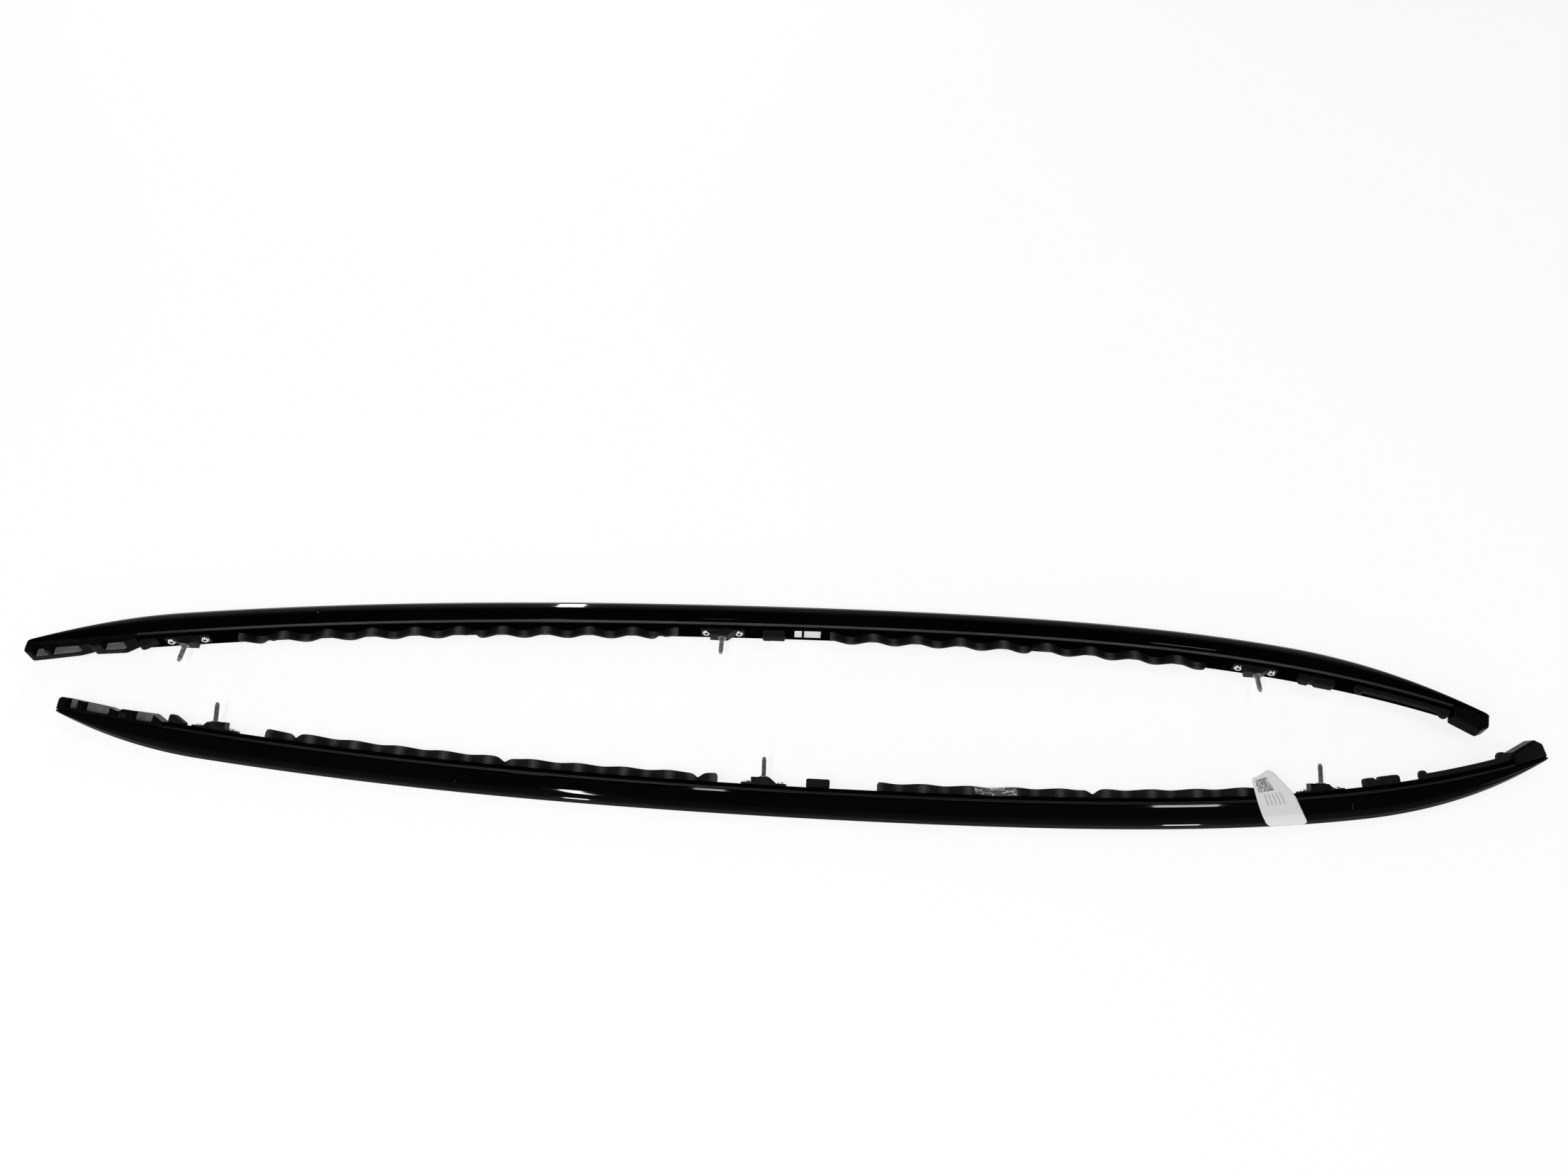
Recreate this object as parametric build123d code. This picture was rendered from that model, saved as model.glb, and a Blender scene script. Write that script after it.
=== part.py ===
from build123d import *
from math import atan, ceil, cos, degrees, pi, radians, sin, tan
import os

# A pair of roof side rails for a car, mirror images, lying on the floor on their inner sides.
# Each rail is a bowed, tapered profile with an edge seal, end mouldings, rubber pads and studded brackets.
# Along a rail, x runs from its rear tip. Across it, "down" points at the car's roof, the way the studs point,
# and "out" points away from the middle of the car. Both start at the lower edge of the rail's side face.

# How the pair lies on the floor
rail_length = 1860.0
lie_angle = 13.0
pair_spread = 68.0
pair_stagger = 62.4
toe_angle = 0.585

# Bow of the rail along its length
bow_depth = 76.6
bow_lean = 22.0
bow_fullness = 39.6

# Section of the profile, full and at the tips
crest_height = 30.5
tip_crest_height = 3.0
rear_taper = 190.0
front_taper = 240.0
shoulder_height = 16.6
shoulder_bulge = 3.5
brow_height = 24.4
brow_bulge = 1.0
crest_inset = 4.0
inner_crest_height = 25.5
base_width = 26.0
tip_base_width = 22.5
foot_depth = 8.0
foot_step = 0.8
lip_radius = 0.8
shoulder_radius = 5.0
brow_radius = 4.0
crest_radius = 6.0
inner_crest_radius = 5.0
inner_base_radius = 3.0
foot_radius = 1.2
profile_sections = 36

# Edge seal in its recess under the side face
seal_height = 2.8
seal_width = 3.0
seal_setback = 0.3
seal_edge_radius = 0.7
seal_end_gap = 0.6
seal_sections = 18
seat_gap = 0.3

# Rubber pads on the foot
pad_depth = 18.7
pad_wall = 5.0
pad_inset = 3.9
pad_wave = 10.0
pad_period = 56.0
notch_root = 4.2
notch_half_width = 7.0
long_rear_pad_after_stud = 66.0
long_rear_pad_before_stud = 57.0
long_rear_pad_notches = (0.061, 0.53, 0.956)
long_front_pad_after_stud = 139.0
long_front_pad_before_stud = 62.0
long_front_pad_notches = (0.5465,)
block_inset = 3.5
block_width = 11.0
rear_pad_gap = 4.6
rear_pad_length = 21.0
rear_pad_round = 2.5
rear_pad_flat = 6.0
rear_pad_low_end = 2.5
middle_pad_after_stud = 52.0
middle_pad_length = 29.0
middle_pad_round = 1.5
twin_pad_after_stud = 54.0
twin_pad_length = 45.0
twin_pad_round = 4.0
twin_pad_dip_place = 16.5
twin_pad_dip = 3.6
twin_pad_dip_width = 8.0
front_strip_gap = 3.0
front_strip_length = 116.0
front_strip_rise = 6.0
front_strip_wall = 7.0
front_strip_sections = 4
front_strip_bumps = ((5.0, 4.5), (109.0, 6.5))

# Moulded end pieces
foot_trim = 0.5
foot_trim_sections = 6
end_piece_inset = 0.3
end_piece_width = 21.5
end_piece_length = 137.0
end_piece_corner = 5.0
end_piece_sections = 8
# Depth of the rear end piece along its length, and its pockets and ribs, all placed as shares of its length
end_piece_ridge = ((0.0, 16.5), (0.46, 14.6), (0.577, 10.9), (0.602, 14.6), (0.876, 16.0), (1.0, 7.4))
pocket_spans = ((0.07, 0.185), (0.228, 0.49), (0.70, 0.90))
rib_places = (0.612, 0.642)
pocket_depth = 12.0
pocket_rim = 3.6
pocket_corner = 2.4
rib_width = 1.6
rib_proud = 0.8
end_cap_width = 19.5
end_cap_length = 43.0
end_cap_depth = 24.5
end_cap_peak_from_tip = 9.0
end_cap_rear_drop = 7.0
end_cap_tip_drop = 8.0
end_cap_sections = 4
tip_margin = 0.5

# Brackets, studs and rivets
first_stud = 200.0
last_stud_from_tip = 286.0
bracket_inset = 4.0
bracket_width = 13.5
bracket_wall = 2.5
flange_length = 56.0
flange_thickness = 2.0
boss_length = 31.0
boss_slope_run = 8.5
boss_depth = 17.4
stud_radius = 3.0
stud_length = 24.6
stud_point = 3.2
stud_point_radius = 2.1
collar_radius = 5.5
collar_thickness = 1.2
tail_radius = 3.9
tail_thickness = 1.8
stud_clearance = 0.2
rivet_pitch = 42.3
rivet_head_radius = 5.0
rivet_head_height = 1.9
rivet_eye_radius = 1.9
rivet_eye_depth = 1.0
rivet_shank_radius = 2.4
rivet_grip = 5.0
rivet_clearance = 0.3

# Values that follow from the sizes above
lie = radians(lie_angle)
lip_height = base_width * cos(lie)
seal_recess = seal_setback + seal_width + seat_gap
seat = foot_depth + seat_gap
bracket_middle = bracket_inset + bracket_width / 2
rear_stud = first_stud
front_stud = rail_length - last_stud_from_tip
middle_stud = (rear_stud + front_stud) / 2
stud_places = (rear_stud, middle_stud, front_stud)
station_names = ("rear", "middle", "front")
reach = 2 * pad_depth


def bow(x):
    """Height of the bow over its chord at x, and the slope of the bow there."""
    u = 2 * x / rail_length - 1
    swell = bow_depth + bow_lean * (u + u**3) + bow_fullness * u**2
    swell_rate = bow_lean * (1 + 3 * u**2) + 2 * bow_fullness * u
    height = (1 - u**2) * swell
    slope = ((1 - u**2) * swell_rate - 2 * u * swell) * 2 / rail_length
    return height, slope


def axes_at(x, follow_bow=True):
    """The lip's point at x with the along and down directions, turned with the bow or square to the chord."""
    height, slope = bow(x)
    heading = -degrees(atan(slope)) if follow_bow else 0.0
    origin = Vector(x - rail_length / 2, -height, lip_height)
    along = Vector(1, 0, 0).rotate(Axis.Z, heading)
    down = Vector(0, cos(lie), sin(lie)).rotate(Axis.Z, heading)
    return origin, along, down


def section_plane(x):
    """Plane across the rail at x, with its own axes down and out."""
    origin, along, down = axes_at(x)
    return Plane(origin, x_dir=down, z_dir=along)


def side_plane(x, out=0.0, follow_bow=True):
    """Plane along the rail at x, with its own axes along and down, facing out."""
    origin, along, down = axes_at(x, follow_bow)
    return Plane(origin, x_dir=along, z_dir=along.cross(down)).offset(out)


def down_plane(x, down_level, out, follow_bow):
    """Plane facing down from a point at x, for pieces turned about their own axis."""
    origin, along, down = axes_at(x, follow_bow)
    outwards = along.cross(down)
    return Plane(origin + down * down_level + outwards * out, x_dir=along, z_dir=down)


def spread(start, end, count):
    """Evenly spaced places from start to end."""
    return [start + (end - start) * i / count for i in range(count + 1)]


def taper(x):
    """1 over the full section, falling as a parabola to 0 at each tip."""
    from_rear = min(1.0, x / rear_taper)
    from_front = min(1.0, (rail_length - x) / front_taper)
    return 1 - (1 - min(from_rear, from_front)) ** 2


def profile_section(x):
    """Face of the rail's section: side face, shoulder, brow, crest, flat inner side and foot."""
    crest = tip_crest_height + (crest_height - tip_crest_height) * taper(x)
    width = tip_base_width + (base_width - tip_base_width) * taper(x)
    share = crest / crest_height
    inner_rise = inner_crest_height * share
    corners = [
        ((0, 0), lip_radius),
        ((-shoulder_height * share, shoulder_bulge * share), shoulder_radius * share),
        ((-brow_height * share, brow_bulge * share), brow_radius * share),
        ((-crest, -crest_inset), crest_radius * share),
        ((-inner_rise, inner_rise * tan(lie) - width), inner_crest_radius * share),
        ((0, -width), inner_base_radius * share),
        ((foot_depth, foot_step - width), foot_radius),
        ((foot_depth, -seal_recess), foot_radius),
        ((0, -seal_recess), 0),
    ]
    points = [point for point, radius in corners]
    radii = [radius for point, radius in corners]
    outline = FilletPolyline(*points, radius=radii, close=True)
    return section_plane(x) * make_face(outline)


def rivet_planes(stud_place):
    """Planes at the two rivets of a bracket, on top of its flange."""
    offsets = (-rivet_pitch / 2, rivet_pitch / 2)
    middle = side_plane(stud_place, -bracket_middle)
    level = seat + flange_thickness
    facing = down_plane(stud_place, level, -bracket_middle, True).z_dir
    return [
        Plane(middle.from_local_coords((offset, level)), x_dir=middle.x_dir, z_dir=facing)
        for offset in offsets
    ]


def foot_cutter(start, end):
    """Curved bar that takes the foot off between two places, to let an end moulding in."""
    places = spread(start, end, foot_trim_sections)
    return ribbon(places, foot_trim, reach, -reach, 3 * reach)


def rail_profile():
    """Bowed and tapered body of the rail, without a foot at its ends, with blind holes for the rivets."""
    places = spread(0, rail_length, profile_sections)
    body = loft([profile_section(x) for x in places])
    body -= foot_cutter(-reach, end_piece_length + seat_gap)
    body -= foot_cutter(rail_length - end_cap_length - seat_gap, rail_length + reach)
    hole = Pos(0, 0, -flange_thickness - rivet_grip - rivet_clearance) * Cylinder(
        rivet_shank_radius + rivet_clearance,
        rivet_grip + flange_thickness,
        align=(Align.CENTER, Align.CENTER, Align.MIN),
    )
    for stud_place in stud_places:
        for plane in rivet_planes(stud_place):
            body -= plane.location * hole
    return body


def ribbon(places, top, bottom, inset, width, corner=0.0):
    """Bar that follows the bow: a rectangle between two depths, set in from the lip, through places."""
    faces = []
    for x in places:
        start = inset(x) if callable(inset) else inset
        outline = FilletPolyline(
            (top, -start),
            (bottom, -start),
            (bottom, -start - width),
            (top, -start - width),
            radius=corner,
            close=True,
        )
        faces.append(section_plane(x) * make_face(outline))
    return loft(faces)


def edge_seal():
    """Satin strip that closes the recess under the side face."""
    rear_end = end_piece_length + seal_end_gap
    front_end = rail_length - end_cap_length - seal_end_gap
    places = spread(rear_end, front_end, seal_sections)
    return ribbon(places, seat_gap, seat_gap + seal_height, seal_setback, seal_width, seal_edge_radius)


def notch_cutter(x, root):
    """Wedge that cuts a V-notch at x down to a root above the foot."""
    point = seat + root
    rise = reach - point
    half = notch_half_width * rise / (pad_depth - point)
    outline = Polyline((0, point), (half, reach), (-half, reach), close=True)
    return extrude(side_plane(x, -reach) * make_face(outline), 2 * reach)


def wavy_pad(start, end, notches):
    """Long rubber wall that winds in and out as a sine wave, with V-notches and bevelled ends."""

    def winding(x):
        return pad_inset + pad_wave * (1 - cos(2 * pi * (x - start) / pad_period)) / 2

    quarters = ceil(4 * (end - start) / pad_period)
    pad = ribbon(spread(start, end, quarters), seat, pad_depth, winding, pad_wall)
    for share in notches:
        pad -= notch_cutter(start + share * (end - start), notch_root)
    return pad


def block(start, length, corner, rise=pad_depth - seat):
    """Straight rubber block on the foot, with its upper corners rounded."""
    half = length / 2
    outline = FilletPolyline(
        (-half, seat),
        (-half, seat + rise),
        (half, seat + rise),
        (half, seat),
        radius=(0, corner, corner, 0),
        close=True,
    )
    face = side_plane(start + half, -block_inset - block_width) * make_face(outline)
    return extrude(face, block_width)


def rear_pad():
    """Rubber block beside the end piece, with a short flat top and a long slope towards the rear bracket."""
    start = end_piece_length + rear_pad_gap
    half = rear_pad_length / 2
    outline = FilletPolyline(
        (-half, seat),
        (-half, pad_depth),
        (rear_pad_flat - half, pad_depth),
        (half, seat + rear_pad_low_end),
        (half, seat),
        radius=(0, rear_pad_round, rear_pad_round, 0, 0),
        close=True,
    )
    return extrude(side_plane(start + half, -block_inset - block_width) * make_face(outline), block_width)


def twin_pad():
    """Rubber block with a dip that parts it into two lobes."""
    start = front_stud + twin_pad_after_stud
    pad = block(start, twin_pad_length, twin_pad_round)
    dip = Circle(twin_pad_dip_width / 2)
    place = side_plane(start + twin_pad_dip_place, -reach) * Pos(0, pad_depth + twin_pad_dip_width / 2 - twin_pad_dip)
    return pad - extrude(place * dip, 2 * reach)


def front_strip():
    """Low rubber strip with a round bump near each end."""
    start = rail_length - end_cap_length - front_strip_gap - front_strip_length
    places = spread(start, start + front_strip_length, front_strip_sections)
    strip = ribbon(places, seat, seat + front_strip_rise, block_inset, front_strip_wall)
    for offset, radius in front_strip_bumps:
        plane = side_plane(start + offset, -block_inset - front_strip_wall)
        bump = plane * Pos(0, seat + front_strip_rise) * Circle(radius)
        raised = extrude(bump, front_strip_wall)
        strip += raised & ribbon(places, seat, reach, block_inset, front_strip_wall)
    return strip


def ridge_cutter(start, length, ridge):
    """Prism that cuts a moulding down to a ridge line, given as shares of its length and depths there."""
    plane = side_plane(start + length / 2, -reach)
    line = []
    for share, depth in ridge:
        origin, along, down = axes_at(start + share * length)
        point = plane.to_local_coords(origin + down * depth)
        line.append((point.X, point.Y))
    before = (line[0][0] - reach, line[0][1])
    after = (line[-1][0] + reach, line[-1][1])
    outline = Polyline(before, *line, after, (after[0], 2 * reach), (before[0], 2 * reach), close=True)
    return extrude(plane * make_face(outline), 2 * reach)


def rear_end_piece():
    """Long end moulding with open pockets, twin ribs, a stepped ridge and a rounded tip."""
    places = spread(tip_margin, end_piece_length, end_piece_sections)
    top = foot_trim + seat_gap
    body = ribbon(places, top, reach, end_piece_inset, end_piece_width)
    body -= ridge_cutter(0, end_piece_length, end_piece_ridge)
    tip_edges = body.faces().sort_by(Axis.X)[0].edges()
    origin, along, down = axes_at(0)
    deepest = tip_edges.sort_by(lambda edge: (edge.center() - origin).dot(down))[-1]
    body = fillet(deepest, end_piece_corner)
    for start, end in pocket_spans:
        span = (end - start) * end_piece_length
        outline = RectangleRounded(span, reach, pocket_corner)
        middle = (start + end) / 2 * end_piece_length
        place = side_plane(middle, -end_piece_inset - pocket_depth) * Pos(0, top + pocket_rim + reach / 2)
        body -= extrude(place * outline, reach)
    rib_height = end_piece_ridge[3][1] - top - 2 * pocket_rim
    for share in rib_places:
        outline = Rectangle(rib_width, rib_height)
        plane = side_plane(share * end_piece_length, -end_piece_inset - rib_proud)
        body += extrude(plane * Pos(0, top + pocket_rim + rib_height / 2) * outline, 2 * rib_proud)
    return body


def front_end_cap():
    """Box-shaped end moulding with a ridged top that falls to both sides."""
    places = spread(rail_length - end_cap_length, rail_length - tip_margin, end_cap_sections)
    body = ribbon(places, foot_trim + seat_gap, reach, end_piece_inset, end_cap_width)
    rear = end_cap_peak_from_tip - end_cap_length
    outline = Polyline(
        (rear, 0),
        (rear, end_cap_depth - end_cap_rear_drop),
        (0, end_cap_depth),
        (end_cap_peak_from_tip, end_cap_depth - end_cap_tip_drop),
        (end_cap_peak_from_tip, 0),
        close=True,
    )
    peak_plane = side_plane(rail_length - end_cap_peak_from_tip, -reach)
    return body & extrude(peak_plane * make_face(outline), 2 * reach)


def boss_prism(stud_place, slope_towards, wall):
    """Prism of the boss, set in by a wall: square to the stud, with one end upright and the other sloped."""
    end = slope_towards * (boss_length / 2 - wall)
    top = boss_depth - wall
    outline = Polyline(
        (-end, 0),
        (-end, top),
        (end - slope_towards * boss_slope_run, top),
        (end, seat + flange_thickness - wall),
        (end, 0),
        close=True,
    )
    inner_side = side_plane(stud_place, -bracket_inset - bracket_width + wall, False)
    return extrude(inner_side * make_face(outline), bracket_width - 2 * wall)


def bracket(stud_place, slope_towards):
    """Hollow hat-shaped pressing: a flange that lies along the foot and a boss square to the stud."""
    inner_side = side_plane(stud_place, -bracket_inset - bracket_width)
    flange_face = Pos(0, seat + flange_thickness / 2) * Rectangle(flange_length, flange_thickness)
    above_foot = Pos(0, seat + reach / 2) * Rectangle(flange_length, reach)
    body = extrude(inner_side * flange_face, bracket_width)
    body += boss_prism(stud_place, slope_towards, 0) & extrude(inner_side * above_foot, bracket_width)
    body -= boss_prism(stud_place, slope_towards, bracket_wall)
    stud_seat = down_plane(stud_place, boss_depth, -bracket_middle, False)
    body -= stud_seat.location * Cylinder(stud_radius + stud_clearance, 3 * bracket_wall)
    for plane in rivet_planes(stud_place):
        body -= plane.location * Cylinder(rivet_shank_radius + rivet_clearance, 3 * flange_thickness)
    return body


def stud(stud_place):
    """Threaded stud with a collar on the boss, a swaged tail inside it and a dog point."""
    outline = Polyline(
        (0, -bracket_wall - tail_thickness),
        (tail_radius, -bracket_wall - tail_thickness),
        (tail_radius, -bracket_wall),
        (stud_radius, -bracket_wall),
        (stud_radius, 0),
        (collar_radius, 0),
        (collar_radius, collar_thickness),
        (stud_radius, collar_thickness),
        (stud_radius, stud_length - stud_point),
        (stud_point_radius, stud_length - stud_point / 2),
        (stud_point_radius, stud_length),
        (0, stud_length),
        close=True,
    )
    turned = revolve(Plane.XZ * make_face(outline), Axis.Z)
    return down_plane(stud_place, boss_depth, -bracket_middle, False).location * turned


def rivet():
    """Blind rivet: a low domed ring head with an eye, and its shank."""
    brow = rivet_head_height / 2
    outline = Polyline(
        (0, -flange_thickness - rivet_grip),
        (rivet_shank_radius, -flange_thickness - rivet_grip),
        (rivet_shank_radius, 0),
        (rivet_head_radius, 0),
        (rivet_head_radius, brow / 2),
        (rivet_head_radius - brow, rivet_head_height),
        (rivet_eye_radius, rivet_head_height),
        (rivet_eye_radius, rivet_head_height - rivet_eye_depth),
        (0, rivet_head_height - rivet_eye_depth),
        close=True,
    )
    return revolve(Plane.XZ * make_face(outline), Axis.Z)


def rail_pieces():
    """Every piece of one rail by name, lying on its inner side with its chord along X."""
    pieces = {
        "rail_profile": rail_profile(),
        "edge_seal": edge_seal(),
        "rear_end_piece": rear_end_piece(),
        "front_end_cap": front_end_cap(),
        "rear_pad": rear_pad(),
        "long_rear_pad": wavy_pad(
            rear_stud + long_rear_pad_after_stud,
            middle_stud - long_rear_pad_before_stud,
            long_rear_pad_notches,
        ),
        "middle_pad": block(middle_stud + middle_pad_after_stud, middle_pad_length, middle_pad_round),
        "long_front_pad": wavy_pad(
            middle_stud + long_front_pad_after_stud,
            front_stud - long_front_pad_before_stud,
            long_front_pad_notches,
        ),
        "twin_pad": twin_pad(),
        "front_strip": front_strip(),
    }
    rivets = []
    for name, place, slope_towards in zip(station_names, stud_places, (-1, 1, 1)):
        pieces[name + "_bracket"] = bracket(place, slope_towards)
        pieces[name + "_stud"] = stud(place)
        rivets += [plane.location * rivet() for plane in rivet_planes(place)]
    pieces["rivets"] = Compound(rivets)
    return pieces


def lay_pair():
    """Both rails on the floor, staggered and toed in, with the middle of their box over the origin."""
    left_place = Location((pair_stagger / 2, -pair_spread / 2, 0), (0, 0, toe_angle))
    right_place = Location((-pair_stagger / 2, pair_spread / 2, 0), (0, 0, -toe_angle))
    laid = {}
    for name, piece in rail_pieces().items():
        laid["left_" + name] = left_place * piece
        laid["right_" + name] = right_place * piece.mirror(Plane.XZ)
    box = Compound(list(laid.values())).bounding_box()
    middle = box.center()
    to_origin = Pos(-middle.X, -middle.Y, -box.min.Z)
    return {name: to_origin * piece for name, piece in laid.items()}


os.makedirs("parts", exist_ok=True)
for node, shape in lay_pair().items():
    export_step(shape, "parts/" + node + ".step")
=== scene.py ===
"""Looks of a pair of gloss-black roof side rails on a pale floor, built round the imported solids."""
import math

import bpy
import numpy as np
from mathutils import Matrix


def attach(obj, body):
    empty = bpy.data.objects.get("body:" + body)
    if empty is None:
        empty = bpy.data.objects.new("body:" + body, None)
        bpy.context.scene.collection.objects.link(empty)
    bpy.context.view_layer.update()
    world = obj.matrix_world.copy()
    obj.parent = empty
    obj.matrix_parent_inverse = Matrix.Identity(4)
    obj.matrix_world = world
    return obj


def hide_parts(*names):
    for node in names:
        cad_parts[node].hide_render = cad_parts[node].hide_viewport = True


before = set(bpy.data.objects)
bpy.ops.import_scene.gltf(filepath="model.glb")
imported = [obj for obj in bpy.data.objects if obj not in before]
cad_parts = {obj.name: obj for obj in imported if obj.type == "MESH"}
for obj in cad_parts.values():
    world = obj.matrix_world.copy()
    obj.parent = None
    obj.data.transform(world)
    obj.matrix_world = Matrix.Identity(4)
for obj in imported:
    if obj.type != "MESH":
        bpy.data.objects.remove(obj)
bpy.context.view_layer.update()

bl_info = {
    "name": "Roof Side Rail Pair",
    "version": (1, 0, 0),
    "blender": (4, 5, 0),
    "location": "3D View > Sidebar > Rails",
    "description": "Dresses a pair of roof side rails: profiles, seals, pads, mouldings and studs",
    "category": "Object",
}

SIDES = ("left", "right")
STATIONS = ("rear", "middle", "front")
BODY = "root"

# Meshes that are copied from the solids
TINY = 1e-12  # least length that is divided by
WELD_CELLS = 2e6  # cells in a metre; corners in the same cell are joined
SEAT_FACING = 0.8  # cosine to the foot's direction from which a face is part of a seat
COPY_SHARP = 32.0  # degrees
BEVEL_SEGMENTS = 2
BRACKET_BEVEL = 0.0014
RIVET_BEVEL = 0.0002
RUBBER_SKIN = 0.0006  # mesh size
PLASTIC_SKIN = 0.0007
SKIN_MELT = 0.5  # strength of one smoothing pass
RUBBER_PASSES = {"rear_pad": 24, "middle_pad": 24, "twin_pad": 30, "front_strip": 12}
PLASTIC_PASSES = {"rear_end_piece": 14, "front_end_cap": 50}

# Profile
PROFILE_ROWS = 421
EVEN_ROWS = 0.75  # share of the rows' spacing that is even; the rest crowds towards the tips
FOOT_END_HALF = 2e-5  # half the length over which the foot starts and ends
TIP_ROWS = 8
TIP_FIRST_TURN = 0.2  # radians
TIP_DRAW = 0.4  # share by which the end outlines are drawn in
ROUND = {
    "lip": 0.0005, "face": 0.010, "shoulder": 0.012, "brow": 0.010, "crest": 0.006, "inner": 0.005,
    "base": 0.003, "trimmed_base": 0.0004, "foot": 0.0012, "trimmed_foot": 0.0001, "recess": 0.0002,
}
FACE_EDGE_OUT = 0.0011  # how far the face stands out at its upper edge, for the chips
SPOT_CORE = 0.6  # share of a spot's radius that is full
# Chips: side, place along the rail, height over the lip and radius; the row of them is a scratch
CHIPS = (
    ("left", 0.145, 0.0170, 0.0007),
    ("left", 0.3179, 0.0185, 0.0005),
    ("left", 0.5122, 0.0168, 0.0007),
    *(("left", 1.6045 - 0.0003 * i, 0.0096 + 0.001 * i, 0.0004) for i in range(7)),
    ("right", 0.364, 0.0140, 0.0011),
    ("right", 1.395, 0.0160, 0.0006),
)

# Seals and rubber walls
SEAL_ROWS = 360
SEAL_END_GAP = 0.0006
SEAL_REAR_FADE = 0.16
SEAL_FRONT_FADE = 0.24
SEAL_PAINTED_LINES = (0.26, 0.36)  # shares of the seal's height, from the middle of its face to the painted highlight lines on its edges
# Walls: distance after one stud and before the next, and notches as shares of the length
WALLS = {
    "long_rear_pad": (0.066, 0.057, (0.061, 0.53, 0.956)),
    "long_front_pad": (0.139, 0.062, (0.5465,)),
}
WALL_ROW = 0.0011
WALL_DIP = 0.0015  # how much lower the top is at the innermost windings
WALL_END_ROUND = 0.0035
WALL_EDGES = (0.0003, 0.0003, 0.0013, 0.0013)  # radii at the seat and at the top
NOTCH_ROUND = 0.0012
NOTCH_SOFT = 0.0014
EXPONENT_LIMIT = 60
WALL_PHASE = 0.25  # windings, so that the cosine is 0 where the wall faces straight out, under the rubber's painted highlight bands

# Studs and rivets; the tail and the point are pairs of a distance and a radius
THREAD_ROWS = 215
TURN_STEPS = 40
THREAD_DEPTH = 0.0005
THREAD_GAIN = 1.35  # over 1 flattens the crests
THREAD_ROOT = 0.15  # flattens the roots
THREAD_END = 0.0034  # from the point
STUD_TAIL = ((-0.0043, 0.0039), (-0.0026, 0.0039), (-0.0025, 0.003), (0.0, 0.003))
STUD_POINT = ((0.0030, 0.0027), (0.0020, 0.0021), (0.0008, 0.0021), (0.0002, 0.0018), (0.0, 0.0012))
COLLAR_FACE = 0.0053  # radius of the collar's faces inside its rounded edge
COLLAR_EDGE = 0.0002
NECK_RADIUS = 0.0029
NECK_LENGTH = 0.0012
EYE_SHADE_SPREAD = 1.55  # the painted shade of an eye reaches beyond its floor

# Labels and film; the tables run over the distance down from the lip
SHEET_THICKNESS = 0.00015
LABEL_GRID = (110, 26)
LABEL_TAB = 0.0305  # lower end of the tab at its left edge
LABEL_SLANT = 0.008  # and how much lower it is at its right edge
LABEL_CREST = -0.0293
LABEL_CORNER = 0.005
LABEL_BLUR = (-0.001, 0.0, 0.001)
LABEL_RIPPLE = 0.0002
LABEL_FREE = 0.02  # from the lip to where the ripple is full
LABEL_BEND = (
    (-0.0293, -0.0033), (-0.028, -0.0016), (-0.025, 0.0010), (-0.021, 0.0028), (-0.0166, 0.0040),
    (-0.008, 0.0024), (0.0, 0.0007), (0.005, 0.0003), (0.012, -0.0012),
    (0.0205, -0.0032), (0.030, -0.0048), (0.0385, -0.0075),
)
LABEL_LEFT = (
    (-0.028, 1.4992), (-0.025, 1.4966), (-0.0166, 1.4924), (-0.008, 1.4910), (0.005, 1.4892),
    (0.030, 1.4875),
)
LABEL_RIGHT = (
    (-0.028, 1.5482), (-0.025, 1.5464), (-0.0166, 1.5423), (-0.008, 1.5404), (0.0, 1.5386),
    (0.005, 1.5370), (0.012, 1.5330), (0.0205, 1.5275), (0.0375, 1.5150),
)
TAGS = {"small_label_a": (0.9800, 0.9895), "small_label_b": (0.9925, 1.0140)}
TAG_GRID = (9, 7)
TAG_OUT = (-0.0042, -0.0185)
TAG_LIFT = 0.00025
TAG_SHEET = 0.05  # share of the sheet coordinates that a tag takes, where nothing is printed
FILM_GRID = (70, 30)
FILM_START = 1.145
FILM_LENGTH = 0.052
FILM_TOP = 0.0095
FILM_DROP = 0.0098
FILM_SAG = 0.002
FILM_SKEW = 0.001
FILM_OUT = -0.0018
FILM_FOLD = 0.0007

# Stage
FLOOR_REACH = 8.0
FLOOR_LINES = 9
FLOOR_LEVEL = -0.0004
FLOOR_GLOW = 1.14
FLOOR_SHARE = 0.72  # of the glow, to the eye
SKY = (
    (0.0, (0.40, 0.40, 0.40, 1.0)),
    (0.5, (0.22, 0.22, 0.225, 1.0)),
    (0.85, (0.05, 0.05, 0.05, 1.0)),
)
WHITE = (1.0, 1.0, 1.0)
SENSOR_WIDTH = 36.0
CLIP_END = 100.0
# Lamps: name, a point on a rail, the direction in which its gloss shows the lamp, the distance,
# the widths along X and across, and the share of the full brightness
LAMPS = (
    ("front_high", (-0.300, -0.119, 0.025), (-0.1745, -0.337, 0.925), 2.3, 0.075, 1.40, 1.0),
    ("front_low", (-0.345, -0.128, 0.020), (-0.1745, -0.936, 0.304), 2.3, 0.085, 0.50, 1.0),
    ("back", (-0.331, 0.117, 0.025), (-0.185, 0.950, 0.260), 2.3, 0.090, 1.10, 0.9),
    ("right_back", (0.479, -0.106, 0.025), (0.3195, 0.379, 0.868), 2.3, 0.180, 0.16, 1.0),
    ("right_front", (0.640, -0.130, 0.015), (0.3195, -0.900, 0.260), 2.3, 0.140, 0.40, 1.0),
    ("middle_back", (-0.084, -0.111, 0.025), (-0.057, 0.400, 0.915), 2.3, 0.095, 0.05, 0.7),
    ("left_side", (-0.300, 0.0, 0.020), (-0.880, -0.100, 0.460), 3.4, 1.30, 1.30, 0.06),
    ("right_side", (0.300, 0.0, 0.020), (0.880, -0.100, 0.460), 3.4, 1.30, 1.30, 0.06),
)


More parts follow.
